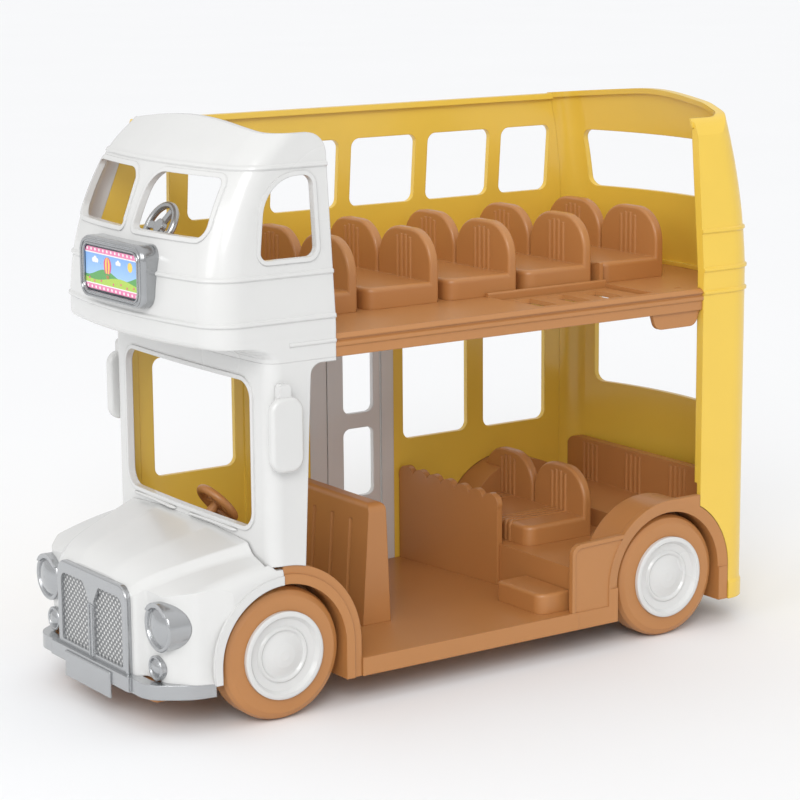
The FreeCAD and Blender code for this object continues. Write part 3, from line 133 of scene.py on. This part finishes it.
def worn_edges(tree, coords, bevel):
    """Wear where the bevelled normal turns away from the flat one, broken up by scuffs."""
    geometry = tree.nodes.new("ShaderNodeNewGeometry")
    dot = tree.nodes.new("ShaderNodeVectorMath")
    dot.operation = "DOT_PRODUCT"
    tree.links.new(bevel.outputs["Normal"], dot.inputs[0])
    tree.links.new(geometry.outputs["Normal"], dot.inputs[1])
    edges = ramp(tree, dot.outputs["Value"], 0.97, 0.75, 0.0, 0.55)
    scuffs = ramp(tree, noise(tree, coords, SCUFF_SCALE, 4.0), 0.4, 0.62, 0.15, 1.0)
    worn = tree.nodes.new("ShaderNodeMath")
    worn.operation = "MULTIPLY"
    tree.links.new(edges, worn.inputs[0])
    tree.links.new(scuffs, worn.inputs[1])
    return worn.outputs["Value"]


def plastic(name, colour, rough, coat=0.0, metallic=0.0):
    """Moulded plastic: faint mottling, handled gloss, paler worn edges, fine moulding grain."""
    mat, tree, bsdf = new_material(name)
    coords = object_coords(tree)
    mottle = ramp(tree, noise(tree, coords, MOTTLE_SCALE, 3.0), 0.35, 0.65, 0.0, 1.0)
    shade = mottled(tree, mottle, colour, 0.985, 1.012)
    bevel = tree.nodes.new("ShaderNodeBevel")
    bevel.samples = 4
    bevel.inputs["Radius"].default_value = EDGE_RADIUS
    shade = mix(tree, worn_edges(tree, coords, bevel), shade, tint(colour, 1.12))
    tree.links.new(shade, bsdf.inputs["Base Color"])
    handled = ramp(tree, noise(tree, coords, HANDLED_SCALE), 0.2, 0.8, rough * 0.92, rough * 1.10)
    tree.links.new(handled, bsdf.inputs["Roughness"])
    grain = bump(tree, noise(tree, coords, FINE_SCALE), 0.35, GRAIN_HEIGHT)
    tree.links.new(bevel.outputs["Normal"], grain.inputs["Normal"])
    tree.links.new(grain.outputs["Normal"], bsdf.inputs["Normal"])
    bsdf.inputs["Metallic"].default_value = metallic
    bsdf.inputs["Coat Weight"].default_value = coat
    bsdf.inputs["Coat Roughness"].default_value = 0.12
    bsdf.inputs["IOR"].default_value = 1.5
    return mat


def printed(name, colour, low_sky=None):
    """Ink on glossy card: faint halftone speckle under thin lacquer; a sky fades to low_sky below."""
    mat, tree, bsdf = new_material(name)
    coords = object_coords(tree)
    speckle = noise(tree, coords, SPECKLE_SCALE)
    ink = mottled(tree, ramp(tree, speckle, 0.4, 0.6, 0.0, 1.0), colour, 0.94, 1.05)
    if low_sky:
        fade = ramp(tree, height_of(tree, coords), SIGN_LOW * MM, SIGN_HIGH * MM, 1.0, 0.0)
        ink = mix(tree, fade, ink, low_sky)
    tree.links.new(ink, bsdf.inputs["Base Color"])
    patches = ramp(tree, noise(tree, coords, PATCH_SCALE, 3.0), 0.3, 0.7, 0.26, 0.40)
    tree.links.new(patches, bsdf.inputs["Roughness"])
    tree.links.new(bump(tree, speckle, 0.2, INK_HEIGHT).outputs["Normal"], bsdf.inputs["Normal"])
    bsdf.inputs["Coat Weight"].default_value = 0.25
    bsdf.inputs["Coat Roughness"].default_value = 0.1
    return mat


# The sign's card, in millimetres
SIGN_X = -38.8
SIGN_HALF = 21.5
SIGN_LOW, SIGN_HIGH = 167.1, 184.9
SIGN_CORNER = 3.3

# Plastics, steel and the card's sky
WHITE = (0.655, 0.655, 0.645, 1.0)
YELLOW = (0.80, 0.54, 0.068, 1.0)
BROWN = (0.455, 0.199, 0.062, 1.0)
SILVER = (0.45, 0.46, 0.47, 1.0)
white = plastic("white_gloss_plastic", WHITE, 0.26, coat=0.5)
yellow = plastic("yellow_plastic", YELLOW, 0.33, coat=0.25)
brown = plastic("brown_satin_plastic", BROWN, 0.40, coat=0.12)
silver = plastic("silver_lacquered_plastic", SILVER, 0.24, metallic=0.85, coat=0.4)
dull_silver = plastic("silver_mesh_plastic", (0.26, 0.265, 0.27, 1.0), 0.34, metallic=0.35)
bright_silver = plastic("silver_sign_plastic", (0.40, 0.41, 0.42, 1.0), 0.16, metallic=1.0, coat=0.5)
steel = plastic("axle_steel_bar", (0.55, 0.55, 0.55, 1.0), 0.3, metallic=1.0)
sky = printed("sign_sky_print", (0.16, 0.36, 0.80, 1.0), (0.45, 0.68, 0.90, 1.0))

SLOTS = {"white_plastic": white, "yellow_plastic": yellow, "brown_plastic": brown,
         "silver_plastic": silver, "sign_print": sky, "axle_steel": steel}
for entry in frame["record"]["subparts"]:
    dress = nodes[entry["node"]].data.materials
    dress.clear()
    dress.append(SLOTS[entry["material_slot"]])
# The sign's frame is brighter than the other silver pieces
nodes["sign_frame"].data.materials[0] = bright_silver


# Pieces in mesh code
def piece(name, points, faces, material, slot, smooth=False):
    """A mesh that rides on the bus body, from points in millimetres."""
    mesh = bpy.data.meshes.new(name)
    mesh.from_pydata([place(*p) for p in points], [], faces)
    mesh.validate()
    if smooth:
        mesh.shade_smooth()
    mesh.materials.append(material)
    obj = bpy.data.objects.new(name, mesh)
    bpy.context.scene.collection.objects.link(obj)
    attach(obj, "bus_body")


def clip(points, region):
    """The part of a polygon inside a convex region; both are (y, z) points, the region anticlockwise."""
    for k in range(len(region)):
        (ay, az), (by, bz) = region[k - 1], region[k]
        kept = []
        for j in range(len(points)):
            p, q = points[j - 1], points[j]
            inside_p = (by - ay) * (p[1] - az) - (bz - az) * (p[0] - ay)
            inside_q = (by - ay) * (q[1] - az) - (bz - az) * (q[0] - ay)
            if (inside_p < 0.0) != (inside_q < 0.0):
                t = inside_p / (inside_p - inside_q)
                kept.append((p[0] + t * (q[0] - p[0]), p[1] + t * (q[1] - p[1])))
            if inside_q >= 0.0:
                kept.append(q)
        points = kept
    return points


def flat_shapes(outlines, front, back):
    """Points and faces of flat prisms along X, one from each outline of (y, z) points."""
    points, faces = [], []
    for outline in outlines:
        base, n = len(points), len(outline)
        points += [(front, y, z) for y, z in outline] + [(back, y, z) for y, z in outline]
        for tri in tessellate_polygon([[Vector((y, z, 0.0)) for y, z in outline]]):
            faces.append(tuple(base + k for k in tri))
            faces.append(tuple(base + n + k for k in reversed(tri)))
        faces += [(base + k, base + (k + 1) % n, base + n + (k + 1) % n, base + n + k) for k in range(n)]
    return points, faces


def turns(count):
    """Cosine and sine of equal turns round a circle."""
    angles = [2.0 * math.pi * k / count for k in range(count)]
    return [(math.cos(a), math.sin(a)) for a in angles]


def disc(y, z, radius, count=28):
    return [(y + radius * cosine, z + radius * sine) for cosine, sine in turns(count)]


def rounded(y0, y1, z0, z1, radius):
    """Anticlockwise outline of a rectangle with round corners."""
    points, steps = [], 8
    centres = ((y1 - radius, z0 + radius, -90.0), (y1 - radius, z1 - radius, 0.0),
               (y0 + radius, z1 - radius, 90.0), (y0 + radius, z0 + radius, 180.0))
    for cy, cz, start in centres:
        for k in range(steps + 1):
            a = math.radians(start + 90.0 * k / steps)
            points.append((cy + radius * math.cos(a), cz + radius * math.sin(a)))
    return points


# Radiator mesh: crossing silver strips with white studs between them, in the grille's two fields
FIELD = [(25.75, 22.5), (25.75, 50.9), (6.5, 50.9), (2.0, 43.9), (2.0, 22.5)]
FIELD_MIDDLE = (14.0, 36.5)
MESH_PITCH = 1.98
MESH_ANGLE = math.radians(43.0)
MESH_WIDTH = 0.8
MESH_CREST = 0.6
MESH_BEVEL = 0.15
MESH_FRONT, MESH_BACK = -51.3, -50.5
MESH_STEP = 0.01
MESH_TUCK = 0.4
MESH_COUNT = 12
MESH_SPAN = 40.0
MESH_SHORTEST = 0.8
STUD_SHARE = 0.56
STUD_SMALLEST = 0.5
STUD_FRONT = -51.25


def spread(outline, more):
    """An outline moved outwards from its middle by about the given length."""
    cy = sum(y for y, z in outline) / len(outline)
    cz = sum(z for y, z in outline) / len(outline)
    grown = []
    for y, z in outline:
        away = math.hypot(y - cy, z - cz)
        grown.append((y + (y - cy) / away * more, z + (z - cz) / away * more))
    return grown


def area(outline):
    """Area inside an outline, below zero where it runs clockwise."""
    sides = zip(outline[-1:] + outline[:-1], outline)
    return sum(ay * bz - by * az for (ay, az), (by, bz) in sides) / 2.0


def strip(p, q, front):
    """Points and faces of one strip from p to q, with a narrower crest in front."""
    long = math.hypot(q[0] - p[0], q[1] - p[1])
    ny, nz = -(q[1] - p[1]) / long, (q[0] - p[0]) / long
    edge = front + MESH_BEVEL
    section = ((MESH_BACK, MESH_WIDTH / 2), (edge, MESH_WIDTH / 2), (front, MESH_CREST / 2),
               (front, -MESH_CREST / 2), (edge, -MESH_WIDTH / 2), (MESH_BACK, -MESH_WIDTH / 2))
    points = [(x, end[0] + ny * s, end[1] + nz * s) for end in (p, q) for x, s in section]
    faces = [(k, (k + 1) % 6, 6 + (k + 1) % 6, 6 + k) for k in range(6)]
    return points, faces + [tuple(range(5, -1, -1)), tuple(range(6, 12))]


def field_strips(field, middle):
    """Ends of the strips of both directions that cross a field, with the front plane of each."""
    region = spread(field, MESH_TUCK)
    for lean, front in ((MESH_ANGLE, MESH_FRONT), (-MESH_ANGLE, MESH_FRONT + MESH_STEP)):
        dy, dz = math.cos(lean), math.sin(lean)
        for k in range(-MESH_COUNT, MESH_COUNT + 1):
            sy, sz = middle[0] - dz * MESH_PITCH * k, middle[1] + dy * MESH_PITCH * k
            line = clip([(sy - MESH_SPAN * dy, sz - MESH_SPAN * dz),
                         (sy + MESH_SPAN * dy, sz + MESH_SPAN * dz)], region)
            if len(line) > 1 and math.dist(min(line), max(line)) > MESH_SHORTEST:
                yield min(line), max(line), front


def field_studs(field, middle):
    """Diamonds between the strips, cut off at the edge of the field."""
    pitch_y, pitch_z = MESH_PITCH / math.sin(MESH_ANGLE) / 2, MESH_PITCH / math.cos(MESH_ANGLE) / 2
    half_y, half_z = pitch_y * STUD_SHARE, pitch_z * STUD_SHARE
    for i in range(-MESH_COUNT, MESH_COUNT):
        for j in range(-MESH_COUNT, MESH_COUNT):
            y = middle[0] + (j - i) * pitch_y
            z = middle[1] + (i + j + 1) * pitch_z
            diamond = clip([(y - half_y, z), (y, z - half_z), (y + half_y, z), (y, z + half_z)], field)
            if len(diamond) > 2 and area(diamond) > half_y * half_z * STUD_SMALLEST:
                yield diamond


strip_points, strip_faces, studs = [], [], []
for side in (1.0, -1.0):
    field = [(side * y, z) for y, z in FIELD]
    if area(field) < 0.0:
        field.reverse()
    middle = (side * FIELD_MIDDLE[0], FIELD_MIDDLE[1])
    for low_end, high_end, front in field_strips(field, middle):
        points, faces = strip(low_end, high_end, front)
        strip_faces += [tuple(len(strip_points) + k for k in face) for face in faces]
        strip_points += points
    studs += list(field_studs(field, middle))
piece("radiator_mesh", strip_points, strip_faces, dull_silver, "silver_plastic")
piece("radiator_studs", *flat_shapes(studs, STUD_FRONT, MESH_BACK), white, "white_plastic")


# Sign picture: hills, a balloon, clouds and a sun between two dotted borders
CARD = rounded(-SIGN_HALF, SIGN_HALF, SIGN_LOW, SIGN_HIGH, SIGN_CORNER)
BAND = 2.7
LINE = 0.45
# Width of the near-black bars along the card's edges, which are painted shadow of the gap to the frame
PAINTED_SHADOW_WIDTH = 0.5
LAYER = 0.02
DOT_PITCH = 3.3
DOT_RADIUS = 0.6
CLOUDS = ((13.4, 179.6, 1.35), (-5.6, 180.0, 1.1))
SUN = (-15.2, 179.3, 1.9)
BALLOON = (3.2, 178.3, 3.0)
GORES = 5
BASKET = [(2.3, 172.7), (4.1, 172.7), (4.4, 174.1), (2.0, 174.1)]
BLOOMS = [(-18.0, 171.3), (-12.5, 170.8), (-7.6, 171.6), (-1.4, 171.0), (8.6, 171.4), (14.2, 170.9),
          (18.4, 171.8)]
BLOOM_RADIUS = 0.5


def ink_layer(name, outlines, colour, layer):
    """Printed shapes that lie on the card, in front of the layers below them."""
    outlines = [clip(outline, CARD) for outline in outlines]
    outlines = [outline for outline in outlines if len(outline) > 2]
    points, faces = flat_shapes(outlines, SIGN_X - LAYER * layer, SIGN_X)
    piece(name, points, faces, inks[colour], "sign_print")


def bar(z0, z1):
    return [(-SIGN_HALF, z0), (SIGN_HALF, z0), (SIGN_HALF, z1), (-SIGN_HALF, z1)]


def edge_bars(width):
    """Two bars along the card's lower and upper edge."""
    return [bar(SIGN_LOW, SIGN_LOW + width), bar(SIGN_HIGH - width, SIGN_HIGH)]


def hill(height, swell, wave, phase):
    """Ground outline with a waved top edge."""
    top, steps = [], 60
    for k in range(steps + 1):
        y = SIGN_HALF - 2.0 * SIGN_HALF * k / steps
        top.append((y, height + swell * math.sin(wave * y + phase)))
    return [(-SIGN_HALF, SIGN_LOW), (SIGN_HALF, SIGN_LOW)] + top


def cloud(y, z, size):
    """A large puff and a smaller one on each side of it."""
    return [disc(y, z, size), disc(y + 1.15 * size, z - 0.25 * size, 0.72 * size),
            disc(y - 1.2 * size, z - 0.3 * size, 0.66 * size)]


def gore(y, z, radius, part):
    """One gore of a hot air balloon, as a slice of its envelope between two curved edges."""
    edges, steps = [], 18
    for share in (2.0 * part / GORES - 1.0, 2.0 * (part + 1) / GORES - 1.0):
        edge = []
        for k in range(steps + 1):
            a = math.radians(90.0 - 160.0 * k / steps)
            wide, tall = (math.cos(a), 1.0) if a > 0.0 else (1.0 - 0.72 * (1.0 - math.cos(a)), 1.25)
            edge.append((y + share * radius * wide, z + radius * math.sin(a) * tall))
        edges.append(edge)
    return edges[0] + edges[1][::-1]


# Ink colours; the near-black one is painted shadow along the card's lower and upper edge, not a printed
# line
INKS = {"pink": (0.80, 0.22, 0.42), "white": (0.86, 0.86, 0.84), "leaf": (0.10, 0.36, 0.09),
        "grass": (0.42, 0.62, 0.08), "sun": (0.90, 0.62, 0.08), "rose": (0.72, 0.10, 0.22),
        "wicker": (0.40, 0.20, 0.07), "painted_gap_shadow": (0.03, 0.03, 0.035)}
inks = {name: printed("sign_%s_print" % name, colour + (1.0,)) for name, colour in INKS.items()}

ink_layer("sign_far_hills", [hill(height=174.6, swell=1.5, wave=0.21, phase=0.4)], "leaf", 1)
ink_layer("sign_near_hills", [hill(height=172.6, swell=1.1, wave=0.15, phase=2.6)], "grass", 2)
ink_layer("sign_borders", edge_bars(BAND), "pink", 3)
lines = [bar(z - LINE / 2, z + LINE / 2) for z in (SIGN_LOW + BAND, SIGN_HIGH - BAND)]
dots = [disc(y * DOT_PITCH, z, DOT_RADIUS, 16)
        for y in range(-6, 7) for z in (SIGN_LOW + BAND / 2, SIGN_HIGH - BAND / 2)]
ink_layer("sign_lines_and_dots", lines + dots, "white", 4)
clouds = [cloud(*where) for where in CLOUDS]
for k, name in enumerate(("sign_clouds", "sign_cloud_edges_a", "sign_cloud_edges_b")):
    ink_layer(name, [puffs[k] for puffs in clouds], "white", k + 1)
ink_layer("sign_sun", [disc(*SUN, 32)], "sun", 1)
gores = [gore(*BALLOON, part) for part in range(GORES)]
ink_layer("sign_balloon_rose", gores[0::2], "rose", 5)
ink_layer("sign_balloon_gold", gores[1::2], "sun", 5)
ink_layer("sign_basket", [BASKET], "wicker", 5)
ink_layer("sign_blooms", [disc(y, z, BLOOM_RADIUS, 14) for y, z in BLOOMS], "rose", 6)
# Near-black bars along the card's lower and upper edge: painted shadow of the gap between the card and
# the frame
ink_layer("sign_painted_gap_shadow", edge_bars(PAINTED_SHADOW_WIDTH), "painted_gap_shadow", 5)


# Two beads on the front of the sign's frame
FRAME_FRONT = -39.5
BEAD_SIDES = 8


def bead(name, half, low, high, corner, radius):
    """A round bead that runs along a rectangle with round corners, half sunk in the frame's front."""
    path = rounded(-half, half, low, high, corner)
    points, faces = [], []
    for k, (y, z) in enumerate(path):
        (py, pz), (ny, nz) = path[k - 1], path[(k + 1) % len(path)]
        long = math.hypot(ny - py, nz - pz)
        out_y, out_z = (nz - pz) / long, -(ny - py) / long
        points += [(FRAME_FRONT - radius * cosine, y + out_y * radius * sine, z + out_z * radius * sine)
                   for cosine, sine in turns(BEAD_SIDES)]
    for k in range(len(path)):
        here, after = k * BEAD_SIDES, (k + 1) % len(path) * BEAD_SIDES
        for j in range(BEAD_SIDES):
            i = (j + 1) % BEAD_SIDES
            faces.append((here + j, here + i, after + i, after + j))
    piece(name, points, faces, bright_silver, "silver_plastic", smooth=True)


bead("sign_frame_inner_bead", half=22.35, low=166.25, high=185.75, corner=4.0, radius=0.5)
bead("sign_frame_outer_bead", half=24.0, low=164.7, high=187.4, corner=5.2, radius=0.62)


# Windscreen wipers: thin bowed bars along the foot of the windscreen
WIPER_Z = 74.4
WIPER_HEIGHT = 1.5
WIPER_DEPTH = 2.0
WIPER_SEAT = 0.5
WIPER_LIFT = 0.35
WIPER_END = 0.25
WIPER_STEPS = 24
WIPER_SIDES = 10
CAB_NOSE_X = -8.2
CAB_BOW = 900.0


def cab_front(y):
    return CAB_NOSE_X + y * y / (2.0 * CAB_BOW)


def wiper(name, y0, y1):
    """A tapered bar with rounded ends, from its tip at y0 to its pivot at y1, on the cab's front."""
    points, faces = [], []
    for k in range(WIPER_STEPS + 1):
        share = k / WIPER_STEPS
        y = y0 + (y1 - y0) * share
        from_end = min(k, WIPER_STEPS - k, 2) / 2.0
        cap = max(WIPER_END, math.sqrt(1.0 - (1.0 - from_end) ** 2))
        high = WIPER_HEIGHT * (0.62 + 0.38 * share) * cap
        deep = WIPER_DEPTH * (0.75 + 0.25 * share) * cap
        middle_x = cab_front(y) + WIPER_SEAT - deep / 2
        middle_z = WIPER_Z + WIPER_LIFT * math.sin(math.pi * share)
        points += [(middle_x - deep / 2 * cosine, y, middle_z + high / 2 * sine)
                   for cosine, sine in turns(WIPER_SIDES)]
    for k in range(WIPER_STEPS):
        for j in range(WIPER_SIDES):
            a, b = k * WIPER_SIDES + j, k * WIPER_SIDES + (j + 1) % WIPER_SIDES
            faces.append((a, b, b + WIPER_SIDES, a + WIPER_SIDES))
    faces += [tuple(range(WIPER_SIDES - 1, -1, -1)),
              tuple(WIPER_STEPS * WIPER_SIDES + j for j in range(WIPER_SIDES))]
    piece(name, points, faces, white, "white_plastic", smooth=True)


wiper("wiper_far", 45.0, 8.0)
wiper("wiper_near", -2.0, -39.0)

# Floor, light and camera
FLOOR_SIZE = 40.0
FLOOR_DROP = 0.0002

floor_mat, tree, bsdf = new_material("studio_floor")
paper = noise(tree, object_coords(tree), PAPER_SCALE, 4.0)
tree.links.new(mix(tree, paper, (0.862, 0.868, 0.88, 1.0), (0.882, 0.888, 0.90, 1.0)),
               bsdf.inputs["Base Color"])
bsdf.inputs["Roughness"].default_value = 0.9
bpy.ops.mesh.primitive_plane_add(size=FLOOR_SIZE, location=(0.0, 0.0, -FLOOR_DROP))
floor = bpy.context.object
floor.name = "studio_floor"
floor.data.materials.append(floor_mat)

world = bpy.data.worlds.new("studio")
bpy.context.scene.world = world
world.use_nodes = True
tree = world.node_tree
background = tree.nodes["Background"]
direction = tree.nodes.new("ShaderNodeTexCoord").outputs["Generated"]
height = ramp(tree, height_of(tree, direction), 0.0, 0.75, 0.0, 1.0)
tree.links.new(mix(tree, height, (0.70, 0.70, 0.70, 1.0), (0.98, 0.98, 0.98, 1.0)),
               background.inputs["Color"])
background.inputs["Strength"].default_value = 0.95


def light(name, kind, energy, where, direction):
    """A light at a place that shines along a direction."""
    data = bpy.data.lights.new(name, kind)
    data.energy = energy
    obj = bpy.data.objects.new(name, data)
    obj.location = where
    obj.rotation_euler = direction.to_track_quat("-Z", "Y").to_euler()
    bpy.context.scene.collection.objects.link(obj)
    return data


KEY_DIRECTION = Vector((0.60, 0.74, -0.60))
LEFT_AT = Vector((-1.0, -0.25, 0.55))
LEFT_TARGET = Vector((0.0, 0.0, 0.15))

key = light("key", "SUN", 1.2, Vector((0.0, 0.0, 0.0)), KEY_DIRECTION)
key.angle = math.radians(28.0)
left = light("left", "AREA", 1.6, LEFT_AT, LEFT_TARGET - LEFT_AT)
left.shape = "SQUARE"
left.size = 0.5

# The camera's place and turn were solved from the photo
camera = bpy.data.cameras.new("camera")
camera.sensor_width = 36.0
camera.lens = 113.3
camera.clip_end = 100.0
cam = bpy.data.objects.new("camera", camera)
right = Vector((0.82201, -0.56943, -0.00764))
up = Vector((0.11747, 0.15641, 0.98068))
ahead = Vector((0.55723, 0.80702, -0.19546))
turn = Matrix((right, up, -ahead)).transposed().to_4x4()
cam.matrix_world = Matrix.Translation(place(-503.85, -872.74, 319.42)) @ turn
bpy.context.scene.collection.objects.link(cam)
bpy.context.scene.camera = cam
bpy.context.scene.view_settings.view_transform = "Standard"
